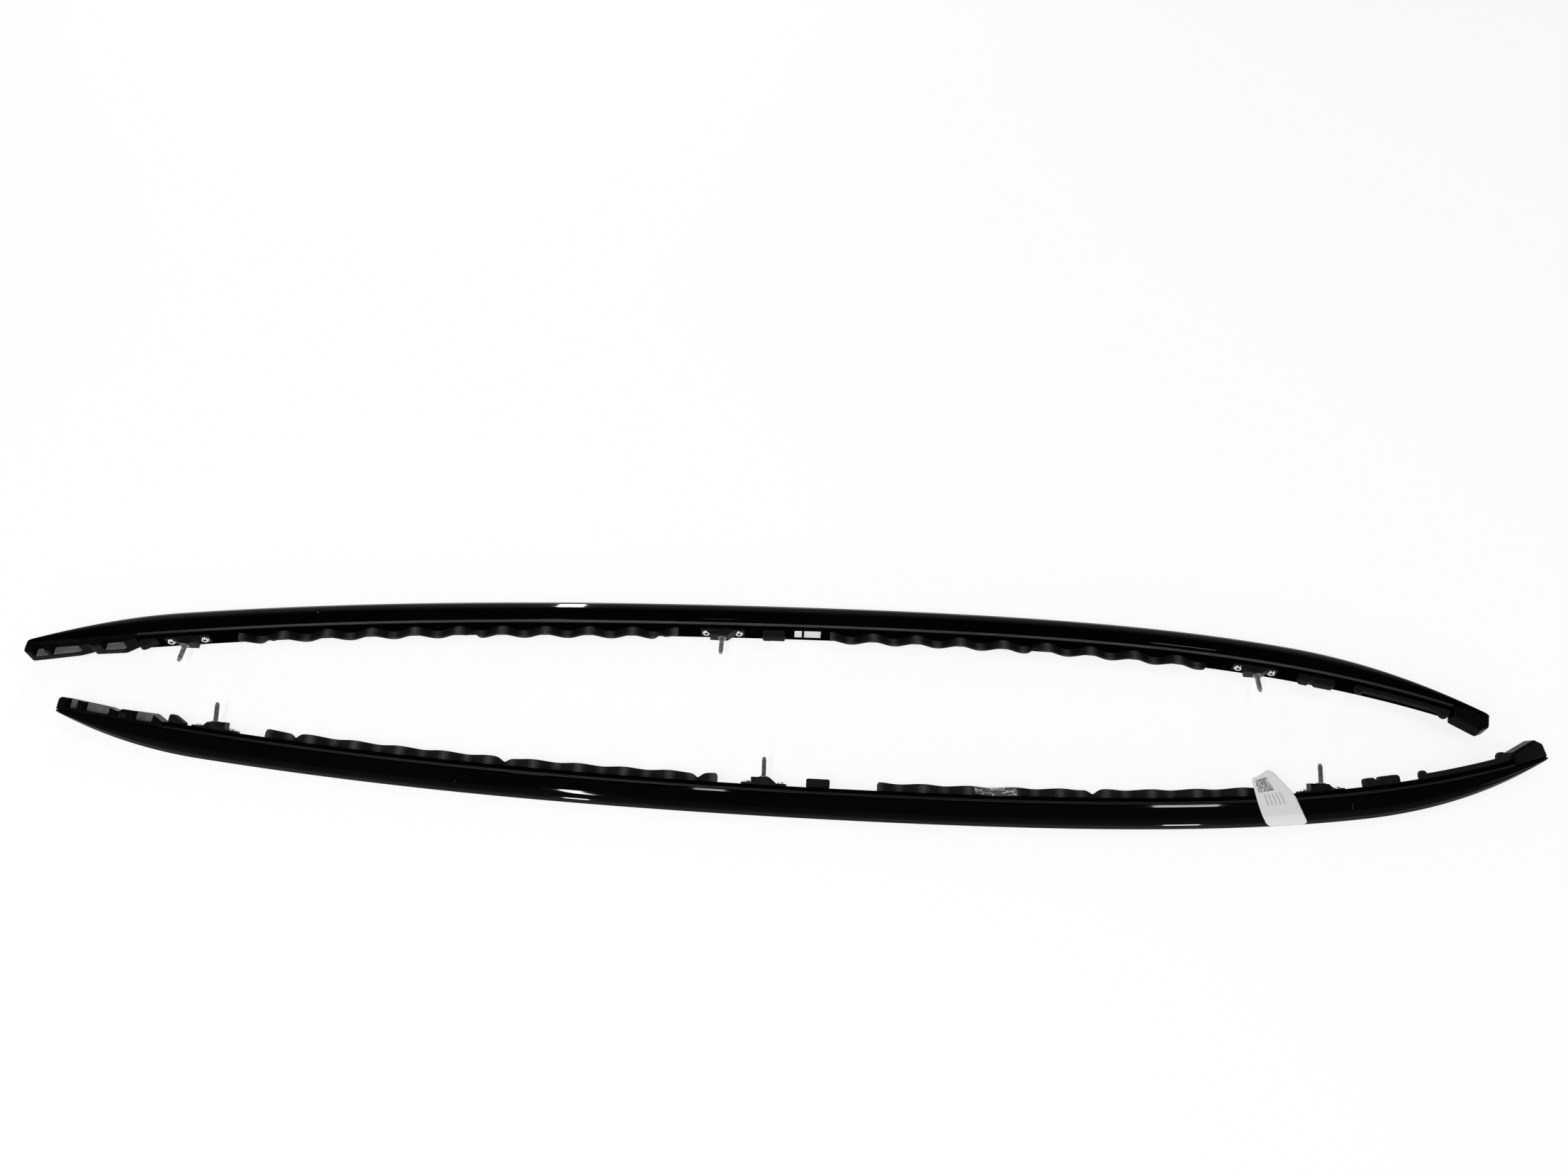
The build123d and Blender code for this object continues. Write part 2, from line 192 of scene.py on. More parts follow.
def length(description, default):
    """A size in metres."""
    return bpy.props.FloatProperty(
        description=description, default=default, precision=5, unit="LENGTH"
    )


def angle(description, degrees):
    """An angle, given in degrees."""
    return bpy.props.FloatProperty(
        description=description, default=math.radians(degrees), unit="ROTATION"
    )


def colour(description, default):
    """A linear colour."""
    return bpy.props.FloatVectorProperty(
        description=description, default=default, size=3, min=0.0, max=1.0, subtype="COLOR"
    )


class RailSizes(bpy.types.PropertyGroup):
    """Sizes of one rail and how the pair lies. They are those of the solids, but the rounding of
    the tips, the face's crown and edge, the seats' sink and the thread's pitch are looks."""

    rail_length: length("From tip to tip, along the chord", 1.86)
    lie_angle: angle("Roll of the section on the floor", 13.0)
    pair_spread: length("Between the two chords", 0.068)
    pair_stagger: length("How far one rail lies ahead of the other", 0.0624)
    pair_shift: length("From the layout to the middle of the pair's box", -0.000225)
    toe_angle: angle("Turn of each rail on the floor", 0.585)
    bow_depth: length("Rise of the bow at mid length", 0.0766)
    bow_lean: length("How much fuller the bow is at its front", 0.022)
    bow_fullness: length("How much fuller the bow is near its tips", 0.0396)
    crest_height: length("Lip to crest on the full section", 0.0305)
    tip_crest_height: length("Lip to crest at the tips", 0.003)
    tip_round: length("Length over which the profile's tips are rounded", 0.007)
    rear_taper: length("Length of the taper at the rear tip", 0.19)
    front_taper: length("Length of the taper at the front tip", 0.24)
    shoulder_height: length("Lip to shoulder", 0.0166)
    shoulder_bulge: length("How far the shoulder stands out", 0.0035)
    brow_height: length("Lip to brow", 0.0244)
    brow_bulge: length("How far the brow stands out", 0.001)
    crest_inset: length("How far the crest lies in", 0.004)
    inner_crest_height: length("Height of the inner edge of the crest", 0.0255)
    base_width: length("Width of the section at the lip", 0.026)
    tip_base_width: length("Width of the section at the tips", 0.0225)
    foot_depth: length("Depth of the foot below the lip", 0.008)
    foot_step: length("How far the base lies beyond the foot", 0.0008)
    foot_trim: length("Foot left over the end mouldings", 0.0005)
    face_crown: length("How far the face's upper edge bulges", 0.0004)
    face_edge: length("Lip to the rounded upper edge of the side face", 0.0035)
    end_piece_length: length("Length of the rear end moulding", 0.137)
    end_cap_length: length("Length of the front end moulding", 0.043)
    seal_height: length("Height of the edge seal", 0.0028)
    seal_width: length("Thickness of the edge seal", 0.003)
    seal_round: length("Radius of the edges of the seal", 0.0007)
    seal_setback: length("How far the seal lies behind the lip", 0.0003)
    seat_gap: length("Clearance between seated pieces", 0.0003)
    seat_sink: length("How far seated pieces press into the foot", 0.00015)
    pad_depth: length("Depth of the rubber pads below the lip", 0.0187)
    pad_wall: length("Thickness of the winding rubber wall", 0.005)
    pad_inset: length("How far the pads lie behind the lip", 0.0039)
    pad_wave: length("How far the rubber wall winds in", 0.010)
    pad_period: length("Length of one winding", 0.056)
    notch_root: length("Rubber left under a notch", 0.0042)
    notch_half_width: length("Half the width of a notch at its top", 0.007)
    rear_stud: length("From the rear tip to the rear stud", 0.2)
    front_stud: length("From the rear tip to the front stud", 1.574)
    boss_depth: length("Depth of the bracket's boss below the lip", 0.0174)
    bracket_middle: length("From the lip back to a bracket's middle", 0.01075)
    rivet_pitch: length("Between the two rivets of a bracket", 0.0423)
    rivet_eye_level: length("Lip to the floor of a rivet's eye", 0.0112)
    rivet_eye_radius: length("Radius of the eye in a rivet's head", 0.0019)
    stud_radius: length("Major radius of the thread", 0.003)
    stud_length: length("From the boss to the stud's point", 0.0246)
    thread_pitch: length("Pitch of the stud's thread", 0.001)
    collar_radius: length("Radius of the stud's collar", 0.0055)
    collar_thickness: length("Thickness of the stud's collar", 0.0012)


class RailColours(bpy.types.PropertyGroup):
    """Colours of the finishes and of what lies on them, linear."""

    gloss_black: colour("Coated profile", (0.0008, 0.0008, 0.0009))
    coat_dust: colour("Specks on the profile", (0.04, 0.04, 0.04))
    chip: colour("Chips and the scratch in the coat", (0.26, 0.26, 0.27))
    seal_grey: colour("Satin edge seal", (0.050, 0.051, 0.052))
    rubber: colour("Matt pads", (0.0042, 0.0043, 0.0045))
    moulding: colour("Semi-gloss end mouldings", (0.0018, 0.0018, 0.0019))
    # painted reflection: the pale colour put on the pocket floors
    pocket: colour("Pale floors of the pockets", (0.26, 0.26, 0.25))
    bracket: colour("Satin coated steel", (0.004, 0.0038, 0.0035))
    bracket_dust: colour("Brownish dust on the steel", (0.011, 0.0095, 0.008))
    zinc: colour("Plated studs", (0.31, 0.30, 0.28))
    zinc_stain: colour("Brownish stains on the studs", (0.12, 0.108, 0.095))
    aluminium: colour("Rivet heads", (0.80, 0.80, 0.80))
    # painted shade in the rivets' eyes
    eye: colour("Eyes of the rivets", (0.01, 0.01, 0.01))
    paper: colour("Bare paper labels", (0.96, 0.96, 0.95))
    paper_field: colour("Mottled field on the label", (0.05, 0.05, 0.05))
    paper_bars: colour("Thin bars on the label", (0.10, 0.10, 0.10))
    # painted highlight on the film's creases
    crease: colour("Creases of the film", (0.9, 0.9, 0.9))
    floor: colour("Pale floor", (0.90, 0.90, 0.90))


class RailStage(bpy.types.PropertyGroup):
    """Camera and light."""

    camera_place: bpy.props.FloatVectorProperty(
        description="Where the camera stands", default=(0.01606, -0.4493, 1.4318), subtype="XYZ"
    )
    camera_elevation: angle("How steeply the camera looks down", 66.534)
    camera_turn: angle("Turn of the camera about the vertical", 1.195)
    camera_roll: angle("Roll of the camera about its own axis", -1.244)
    camera_lens: bpy.props.FloatProperty(
        description="Focal length on a 36 mm wide sensor", default=26.853, unit="CAMERA"
    )
    lamp_radiance: bpy.props.FloatProperty(
        description="Radiance of the small lamps", default=55.0, min=0.0
    )


def bow(s, x):
    """Height and slope of the bow over its chord: (1 - u²) times a swell with a lean u + u³ and a
    fullness u², where u runs from -1 at the rear tip to 1 at the front tip."""
    u = 2 * x / s.rail_length - 1
    swell = s.bow_depth + s.bow_lean * (u + u**3) + s.bow_fullness * u**2
    rate = s.bow_lean * (1 + 3 * u**2) + 2 * s.bow_fullness * u
    height = (1 - u**2) * swell
    slope = ((1 - u**2) * rate - 2 * u * swell) * 2 / s.rail_length
    return height, slope


def taper(s, x):
    """1 on the full section, falling as a parabola to 0 at each tip."""
    short = np.minimum(np.minimum(x / s.rear_taper, (s.rail_length - x) / s.front_taper), 1.0)
    return 1 - (1 - short) ** 2


def quarter_round(to_end):
    """1 at an end and 0 from one radius off it, falling along a quarter circle. The distance to the
    end is given in radii."""
    near = 1 - np.clip(to_end, 0, 1)
    return 1 - np.sqrt(1 - near**2)


def on_rail(s, x, down, out, along=0.0, follow_bow=True):
    """Points of a rail from coordinates along, down and out of its lip: the lip's point at x, plus
    each coordinate times its direction, which turns with the bow or stays square to the chord."""
    x = np.asarray(x, float)
    height, slope = bow(s, x)
    heading = -np.arctan(slope) if follow_bow else np.zeros_like(x)
    cos_h, sin_h, zero = np.cos(heading), np.sin(heading), np.zeros_like(x)
    cos_l, sin_l = math.cos(s.lie_angle), math.sin(s.lie_angle)
    origin = np.stack([x - s.rail_length / 2, -height, zero + s.base_width * cos_l], -1)
    along_axis = np.stack([cos_h, sin_h, zero], -1)
    down_axis = np.stack([-sin_h * cos_l, cos_h * cos_l, zero + sin_l], -1)
    out_axis = np.cross(along_axis, down_axis)
    spread = [np.asarray(c, float)[..., None] for c in (along, down, out)]
    return origin + spread[0] * along_axis + spread[1] * down_axis + spread[2] * out_axis


def lay(s, points, side):
    """A rail's points on the floor: the right rail is mirrored in Y, then each is turned by its toe
    and set apart."""
    sign = 1.0 if side == "left" else -1.0
    x, y, z = points[..., 0], points[..., 1] * sign, points[..., 2]
    cos_t, sin_t = math.cos(s.toe_angle), math.sin(s.toe_angle) * sign
    laid_x = cos_t * x - sin_t * y + sign * s.pair_stagger / 2 + s.pair_shift
    laid_y = sin_t * x + cos_t * y - sign * s.pair_spread / 2
    return np.stack([laid_x, laid_y, z], -1)


def unit(vectors):
    """Vectors divided by their lengths."""
    return vectors / np.maximum(np.linalg.norm(vectors, axis=-1, keepdims=True), TINY)


def rounded_ring(corners, radii, steps, support=0.12):
    """Closed outlines with rounded corners, for arrays of (n, k, 2) corners and (n, k) radii. Each
    corner is the arc from a tangent point to the next, turned evenly, and each straight side gets
    two points near its ends, at a share of its length."""
    before = unit(np.roll(corners, 1, 1) - corners)
    after = unit(np.roll(corners, -1, 1) - corners)
    opening = np.arccos(np.clip((before * after).sum(-1), -1, 1))[..., None]
    radius = radii[..., None]
    centre = corners + unit(before + after) * radius / np.sin(opening / 2)
    start = corners + before * radius / np.tan(opening / 2) - centre
    end = corners + after * radius / np.tan(opening / 2) - centre
    turn = np.pi - opening
    t = np.linspace(0, 1, steps + 1)[None, None, :, None]
    turn, start, end = turn[:, :, None], start[:, :, None], end[:, :, None]
    swung = (np.sin((1 - t) * turn) * start + np.sin(t * turn) * end) / np.sin(turn)
    arc = centre[:, :, None] + swung
    leave = arc[:, :, -1:]
    arrive = np.roll(arc[:, :, :1], -1, 1)
    sides = leave + (arrive - leave) * np.array([support, 1 - support])[None, None, :, None]
    return np.concatenate([arc, sides], 2).reshape(corners.shape[0], -1, 2)


def table_of(corners):
    """One array of (n, k, columns) from k corners, each a tuple of columns of n values."""
    return np.stack([np.stack(corner, -1) for corner in corners], 1)


def grid_faces(rows, columns, wrap):
    """Quads of a grid of rows by columns, joined round the columns where it wraps."""
    i = np.arange(rows - 1)[:, None] * columns
    j = np.arange(columns if wrap else columns - 1)[None, :]
    k = (j + 1) % columns
    quads = np.broadcast_arrays(i + j, i + columns + j, i + columns + k, i + k)
    return np.stack(quads, -1).reshape(-1, 4)


def new_piece(name, points, faces, material, sharp):
    """A smooth-shaded object from points and faces, with edges sharp from an angle in degrees."""
    mesh = bpy.data.meshes.new(name)
    mesh.from_pydata(points.tolist(), [], faces)
    mesh.polygons.foreach_set("use_smooth", np.ones(len(mesh.polygons), bool))
    mesh.set_sharp_from_angle(angle=math.radians(sharp))
    mesh.materials.append(material)
    piece = bpy.data.objects.new(name, mesh)
    bpy.context.scene.collection.objects.link(piece)
    return piece


def hand_over(piece, replaces=()):
    """Hangs a piece on the body that it rides on and hides the nodes that it stands for."""
    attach(piece, BODY)
    if replaces:
        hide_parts(*replaces)


def surface(
    s, side, name, points, material, replaces=(), closed=True, uv=None, sharp=35.0
):
    """A piece from a grid of rail points: a closed outline with its ends capped, or an open sheet.
    Faces are turned for the mirrored rail."""
    rows, columns = points.shape[:2]
    faces = grid_faces(rows, columns, closed)
    ends = []
    if closed:
        ends = [np.arange(columns)[::-1], (rows - 1) * columns + np.arange(columns)]
    if side == "right":
        faces = faces[:, ::-1]
        ends = [end[::-1] for end in ends]
    laid = lay(s, points, side).reshape(-1, 3)
    piece = new_piece(name, laid, faces.tolist() + [end.tolist() for end in ends], material, sharp)
    if uv is not None:
        corner = np.empty(len(piece.data.loops), np.int32)
        piece.data.loops.foreach_get("vertex_index", corner)
        layer = piece.data.uv_layers.new(name="surface")
        layer.data.foreach_set("uv", uv.reshape(-1, 2)[corner].astype(np.float32).ravel())
    hand_over(piece, replaces)
    return piece


def welded(source):
    """Points and triangles of a solid's mesh, with the corners that lie together joined."""
    flat = np.empty(len(source.vertices) * 3, np.float32)
    source.vertices.foreach_get("co", flat)
    corner = np.empty(len(source.loops), np.int32)
    source.loops.foreach_get("vertex_index", corner)
    points = flat.reshape(-1, 3)
    cells = np.round(points * WELD_CELLS)
    _, first, same = np.unique(cells, axis=0, return_index=True, return_inverse=True)
    faces = same.reshape(-1)[corner].reshape(-1, 3)
    whole = (faces != np.roll(faces, 1, 1)).all(1)
    return points[first].astype(float), faces[whole]


def seated(s, points, faces, side):
    """Points of a piece with the faces that look at the rail's foot moved along their normals, to
    close the seat."""
    edges = points[faces[:, 1:]] - points[faces[:, :1]]
    normal = unit(np.cross(edges[:, 0], edges[:, 1]))
    towards = -1.0 if side == "left" else 1.0
    looks = normal[:, 1] * towards > SEAT_FACING
    mean = np.zeros_like(points)
    np.add.at(mean, faces[looks].ravel(), np.repeat(normal[looks], 3, 0))
    return points + unit(mean) * (s.seat_gap + s.seat_sink)


def softened(s, side, name, material, width, passes=0, seat=True):
    """A copy of a solid's mesh with its seat closed and its edges rounded, by a bevel of that width
    or by an even skin of that mesh size, smoothed in some passes."""
    node = side + "_" + name
    points, faces = welded(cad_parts[node].data)
    if seat:
        points = seated(s, points, faces, side)
    piece = new_piece(node + "_finished", points, faces.tolist(), material, COPY_SHARP)
    if passes:
        skin = piece.modifiers.new("even_skin", "REMESH")
        skin.mode = "VOXEL"
        skin.voxel_size = width
        skin.use_smooth_shade = True
        melt = piece.modifiers.new("rounded_skin", "SMOOTH")
        melt.factor = SKIN_MELT
        melt.iterations = passes
    else:
        rounding = piece.modifiers.new("rounded_edges", "BEVEL")
        rounding.width = width
        rounding.segments = BEVEL_SEGMENTS
        rounding.limit_method = "ANGLE"
        rounding.angle_limit = math.radians(COPY_SHARP)
        rounding.harden_normals = True
    hand_over(piece, [node])


def carried(points, x):
    """Surface coordinates of a carried outline: the place along the rail, and the length round the
    outline."""
    step = np.linalg.norm(np.diff(points, axis=1), axis=-1)
    around = np.concatenate([np.zeros((len(points), 1)), np.cumsum(step, 1)], 1)
    return np.stack([np.broadcast_to(x[:, None], around.shape), around], -1)


def arithmetic(operation, swapped=False):
    """A method that adds a Math node, with its values swapped where the number stands first."""

    def method(self, other):
        values = (other, self) if swapped else (self, other)
        return self.math(operation, *values)

    return method


class Shade:
    """A socket in a node tree. Arithmetic on it adds Math nodes, and make adds any other node."""

    def __init__(self, tree, socket=None):
        self.tree = tree
        self.socket = socket

    def make(self, kind, options=None, inputs=None, out=0):
        """A node of that type, its options set first, then its sockets' values or links."""
        node = self.tree.nodes.new("ShaderNode" + kind)
        for key, value in (options or {}).items():
            if key == "stops":
                while len(node.color_ramp.elements) < len(value):
                    node.color_ramp.elements.new(0.5)
                for element, (position, shade) in zip(node.color_ramp.elements, value):
                    element.position = position
                    element.color = shade
            else:
                setattr(node, key, value)
        for key, value in (inputs or {}).items():
            if isinstance(value, Shade):
                self.tree.links.new(value.socket, node.inputs[key])
            else:
                node.inputs[key].default_value = value
        return Shade(self.tree, node.outputs[out])

    def math(self, operation, *values):
        return self.make("Math", {"operation": operation}, dict(enumerate(values)))

    __add__ = arithmetic("ADD")
    __radd__ = arithmetic("ADD", swapped=True)
    __sub__ = arithmetic("SUBTRACT")
    __rsub__ = arithmetic("SUBTRACT", swapped=True)
    __mul__ = arithmetic("MULTIPLY")
    __rmul__ = arithmetic("MULTIPLY", swapped=True)

    def axis(self, index):
        """One coordinate of a vector."""
        return self.make("SeparateXYZ", None, {0: self}, index)

    def clamp(self, low, high):
        """0 below low, 1 above high and a straight line between."""
        return self.make("MapRange", {"clamp": True}, {0: self, 1: low, 2: high, 3: 0.0, 4: 1.0})

    def within(self, low, high, soft):
        """1 between two values, falling to 0 over a soft edge."""
        return self.clamp(low - soft, low + soft) * (1 - self.clamp(high - soft, high + soft))

    def mix(self, a, b):
        """Colour a where this is 0 and b where it is 1."""
        wide = [v if isinstance(v, Shade) else (*v, 1.0) for v in (a, b)]
        return self.make("Mix", {"data_type": "RGBA"}, {0: self, 6: wide[0], 7: wide[1]}, 2)

    def noise(self, scale, detail=3.0, rough=0.6, along=1.0):
        """Noise from 0 to 1 over a vector, drawn out along X where that scale is under 1."""
        vector = self
        if along != 1.0:
            vector = self.make("Mapping", None, {"Vector": self, "Scale": (along, 1.0, 1.0)})
        inputs = {"Vector": vector, "Scale": scale, "Detail": detail, "Roughness": rough}
        return self.make("TexNoise", None, inputs)

    def bump(self, strength, distance):
        """Normals of a surface that has this as its height."""
        return self.make("Bump", None, {"Height": self, "Strength": strength, "Distance": distance})

    def spots(self, places):
        """1 inside small round spots, each a centre and a radius, falling to 0 at their edges."""
        shown = None
        for centre, radius in places:
            gap = self.make("VectorMath", {"operation": "DISTANCE"}, {0: self, 1: centre}, "Value")
            one = 1 - gap.clamp(radius * SPOT_CORE, radius)
            shown = one if shown is None else self.math("MAXIMUM", shown, one)
        return shown


def finish(name, constants, paint):
    """A material with one Principled shader. Constants go on the shader's own sockets, and paint
    returns what varies, from the object's coordinates and the surface's own."""
    material = bpy.data.materials.new(name)
    material.use_nodes = True
    tree = material.node_tree
    shader = tree.nodes["Principled BSDF"]
    for key, value in constants.items():
        shader.inputs[key].default_value = value
    at, sheet = (Shade(tree).make("TexCoord", out=kind) for kind in ("Object", "UV"))
    for key, value in paint(at, sheet).items():
        tree.links.new(value.socket, shader.inputs[key])
    return material


def scaled(tone, factor):
    return tuple(min(1.0, v * factor) for v in tone)


def chip_places(s):
    """Points and radii of the chips: each height over the lip is put on the slope of the face."""
    heights = (0, s.face_edge, s.shoulder_height, s.brow_height)
    bulges = (0, FACE_EDGE_OUT, s.shoulder_bulge, s.brow_bulge)
    for side, x, height, radius in CHIPS:
        out = np.interp(height, heights, bulges)
        yield tuple(lay(s, on_rail(s, x, -height, out), side).ravel()), radius


def gloss_black(s, c, side):
    """Deep black coat on the outer faces, bare below: faint cool drifts, dust specks and a few
    light chips. The lip is dull, and so is the lower edge of the right rail's face. The second
    surface coordinate is the share of the way round the outline from the lip."""
    base = tuple(c.gloss_black)
    bright_from = 0.08 if side == "left" else 0.19

    def paint(at, sheet):
        around = sheet.axis(1)
        drift = at.noise(9.0, detail=2.0, rough=0.5, along=0.5).clamp(0.42, 0.62)
        tone = drift.mix(base, scaled(base, 1.7))
        dust = at.noise(900.0, detail=2.0, rough=0.5).clamp(0.70, 0.78)
        tone = (dust * 0.3).mix(tone, c.coat_dust)
        tone = (at.spots(chip_places(s)) * 0.45).mix(tone, c.chip)
        smear = at.noise(30.0, along=0.25).clamp(0.45, 0.75)
        coated = (1 - around.clamp(0.63, 0.66)) * (1 - around.clamp(0.36, 0.44) * 0.75)
        coated = coated * (0.2 + 0.8 * around.clamp(bright_from, bright_from + 0.03))
        return {
            "Base Color": tone,
            "Roughness": 0.35 + smear * 0.2,
            "Coat Weight": coated * (1 - dust * 0.6) * (1 - smear * 0.2),
            "Normal": at.noise(420.0, detail=2.0, rough=0.5).bump(0.05, 0.0002),
        }

    steady = {"Specular IOR Level": 0.0, "Coat IOR": 1.32, "Coat Roughness": 0.035}
    return finish(side + "_gloss_black_coat", steady, paint)


def satin_seal(s, c, side):
    """Satin seal: fine lengthwise streaks and dust that greys it in patches, and all of it darker
    towards both ends. On the left rail the seal is painted as a darker, shaded copy of the right one,
    and only the two rounded edges of its upper face keep the tone, as painted highlight lines, where
    the length round the outline is away from the middle of that face; the rest of that face is
    painted dark."""
    shaded_with_painted_edge_lines = side == "left"
    # painted shade: the left rail's seal is a darker, shaded copy of the right one's grey
    base = scaled(tuple(c.seal_grey), 0.5 if shaded_with_painted_edge_lines else 0.9)
    first, last = s.end_piece_length, s.rail_length - s.end_cap_length
    outline = 2 * (s.seal_width + s.seal_height) - (8 - 2 * math.pi) * s.seal_round
    middle = outline - s.seal_height / 2 + s.seal_round

    def paint(at, sheet):
        streak = at.noise(160.0, along=0.06)
        dust = at.noise(60.0, detail=4.0, rough=0.65, along=0.3).clamp(0.4, 0.75)
        tone = streak.clamp(0.3, 0.7).mix(scaled(base, 0.7), scaled(base, 1.2))
        tone = (dust * 0.5).mix(tone, scaled(base, 1.9))
        along, around = sheet.axis(0), sheet.axis(1)
        shown = along.clamp(first, first + SEAL_REAR_FADE)
        shown = shown * (1 - along.clamp(last - SEAL_FRONT_FADE, last))
        if shaded_with_painted_edge_lines:
            # painted highlight lines: on the left rail only the rounded edges of the upper face keep
            # the tone, its middle is painted dark
            away = at.math("ABSOLUTE", around - middle)
            shown = shown * away.clamp(*(share * s.seal_height for share in SEAL_PAINTED_LINES))
        return {
            "Base Color": shown.mix(scaled(base, 0.22), tone),
            "Roughness": 0.36 + dust * 0.2,
            "Normal": streak.bump(0.15, 0.0003),
        }

    steady = {"IOR": 1.45, "Specular IOR Level": 0.12 if shaded_with_painted_edge_lines else 0.4}
    return finish(side + "_satin_seal_grey", steady, paint)


def matt_rubber(c):
    """Matt rubber: mottled dark grey with a patchy bloom, mould grain and a painted highlight in
    upright bands where the winding wall faces straight out, where the cosine of its own coordinate,
    in windings, is near 0."""
    base = tuple(c.rubber)

    def paint(at, sheet):
        cloud = at.noise(45.0, detail=4.0)
        bloom = at.noise(14.0).clamp(0.45, 0.8)
        tone = cloud.clamp(0.3, 0.7).mix(scaled(base, 0.75), scaled(base, 1.25))
        tone = (bloom * 0.4).mix(tone, scaled(base, 2.0))
        turn = sheet.axis(0) * (2 * math.pi)
        turned = at.math("ABSOLUTE", at.math("COSINE", turn) + 0.08)
        # painted highlight: lighter upright bands where the wall faces straight out, in place of the
        # lamps' sheen on the winding
        painted_band_highlight = (1 - turned.clamp(0.05, 0.80)) * (0.4 + cloud)
        return {
            "Base Color": painted_band_highlight.mix(tone, scaled(base, 13.0)),
            "Roughness": 0.50 + cloud * 0.16,
            "Normal": at.noise(1500.0, detail=2.0).bump(0.18, 0.0002),
        }

    return finish("matt_black_rubber", {"Specular IOR Level": 0.10}, paint)


def moulded_black(c):
    """Semi-gloss moulded plastic: fine grain, rubbed lighter in places. Faces that look up from low
    down, the floors of its pockets, are painted pale: a painted reflection."""
    base = tuple(c.moulding)

    def paint(at, _):
        rubbed = at.noise(38.0, detail=4.0, rough=0.65).clamp(0.5, 0.78)
        tone = (rubbed * 0.6).mix(base, scaled(base, 2.6))
        upward = at.make("NewGeometry", out="Normal").axis(2)
        # painted reflection: upward faces low down, the pocket floors, are painted pale in place of a
        # bright light mirrored in them
        floor = upward.clamp(0.80, 0.93) * (1 - at.axis(2).clamp(0.0175, 0.0195))
        reflection_mottle = at.noise(70.0).clamp(0.25, 0.75)
        return {
            "Base Color": (floor * (0.45 + reflection_mottle * 0.55)).mix(tone, c.pocket),
            "Roughness": 0.30 + rubbed * 0.22,
            "Normal": at.noise(1100.0, detail=2.0).bump(0.10, 0.0002),
        }

    return finish("semi_gloss_moulding", {"Specular IOR Level": 0.045}, paint)


def coated_steel(c):
    """Satin coated steel of the brackets, with brownish dust in it."""

    def paint(at, _):
        dust = at.noise(120.0, detail=4.0, rough=0.65).clamp(0.45, 0.75)
        return {
            "Base Color": dust.mix(c.bracket, c.bracket_dust),
            "Roughness": 0.30 + dust * 0.25,
            "Normal": at.noise(700.0).bump(0.20, 0.0003),
        }

    return finish("satin_bracket_coat", {"Specular IOR Level": 0.12}, paint)


def plated_zinc(c):
    """Dull zinc plating with brownish stains."""

    def paint(at, _):
        stain = at.noise(260.0, detail=4.0, rough=0.65).clamp(0.35, 0.7)
        return {"Base Color": stain.mix(c.zinc, c.zinc_stain), "Roughness": 0.30 + stain * 0.22}

    return finish("dull_zinc_plate", {"Metallic": 0.9}, paint)


def stud_places(s):
    """The three studs of a rail, from the rear tip."""
    return s.rear_stud, (s.rear_stud + s.front_stud) / 2, s.front_stud


def eye_shade_places(s):
    """Middles of the floors of all the rivets' eyes, and the radius of the painted shade in them."""
    for x in stud_places(s):
        for along in (-s.rivet_pitch / 2, s.rivet_pitch / 2):
            point = on_rail(s, x, s.rivet_eye_level, -s.bracket_middle, along)
            for side in SIDES:
                yield tuple(lay(s, point, side).ravel()), EYE_SHADE_SPREAD * s.rivet_eye_radius


def bright_aluminium(s, c):
    """Bright rivet heads with small stains and painted shade in their eyes."""
    base = tuple(c.aluminium)

    def paint(at, _):
        stain = at.noise(420.0).clamp(0.45, 0.75)
        tone = stain.mix(base, scaled(base, 0.55))
        # painted shade: dark spots in the rivets' hollow eyes
        tone = at.spots(eye_shade_places(s)).mix(tone, c.eye)
        return {"Base Color": tone, "Roughness": 0.22 + stain * 0.2}

    return finish("bright_rivet_head", {"Metallic": 1.0}, paint)


def plain_paper(c):
    """Paper with faint fibres, and a mottled field and a block of thin bars, both grey, where it
    would be printed."""
    base = tuple(c.paper)

    def paint(at, sheet):
        across, along = sheet.axis(0), sheet.axis(1)
        fibre = at.noise(500.0)
        tone = fibre.mix(scaled(base, 0.93), base)
        blotch = at.noise(420.0, detail=1.0, rough=0.5).clamp(0.42, 0.5)
        field = across.within(0.10, 0.56, 0.01) * along.within(0.08, 0.33, 0.006)
        tone = (field * (0.25 + blotch * 0.5)).mix(tone, c.paper_field)
        bars = at.math("SINE", across * 60.0).clamp(0.0, 0.4)
        lines = across.within(0.16, 0.74, 0.01) * along.within(0.38, 0.60, 0.006)
        tone = (lines * bars * 0.35).mix(tone, c.paper_bars)
        return {"Base Color": tone, "Roughness": 0.55 + fibre * 0.15}

    return finish("bare_paper", {"Specular IOR Level": 0.3}, paint)


def clear_film(c):
    """Clear film, seen only where creased: painted white glints along the edges of its sheet's cells.
    """

    def paint(_, sheet):
        swirl = sheet.noise(3.0, detail=2.0, rough=0.5)
        cells = {"feature": "DISTANCE_TO_EDGE"}
        crease = sheet.make("TexVoronoi", cells, {"Vector": sheet, "Scale": 4.0})
        # painted highlight: white glint lines along the film's creases
        line = 1 - crease.clamp(0.01, 0.06)
        return {
            "Base Color": line.mix(c.paper, c.crease),
            "Roughness": 0.15 + swirl * 0.2,
            "Alpha": (line * swirl.clamp(0.42, 0.6) * 0.9 + 0.04).clamp(0.0, 1.0),
        }

    return finish("clear_film", {"Specular IOR Level": 0.5}, paint)


def turned_to(axes, where):
    """A placing matrix from the columns of its axes and a place."""
    return Matrix([[*row, w] for row, w in zip(axes, where)] + [[0, 0, 0, 1]])


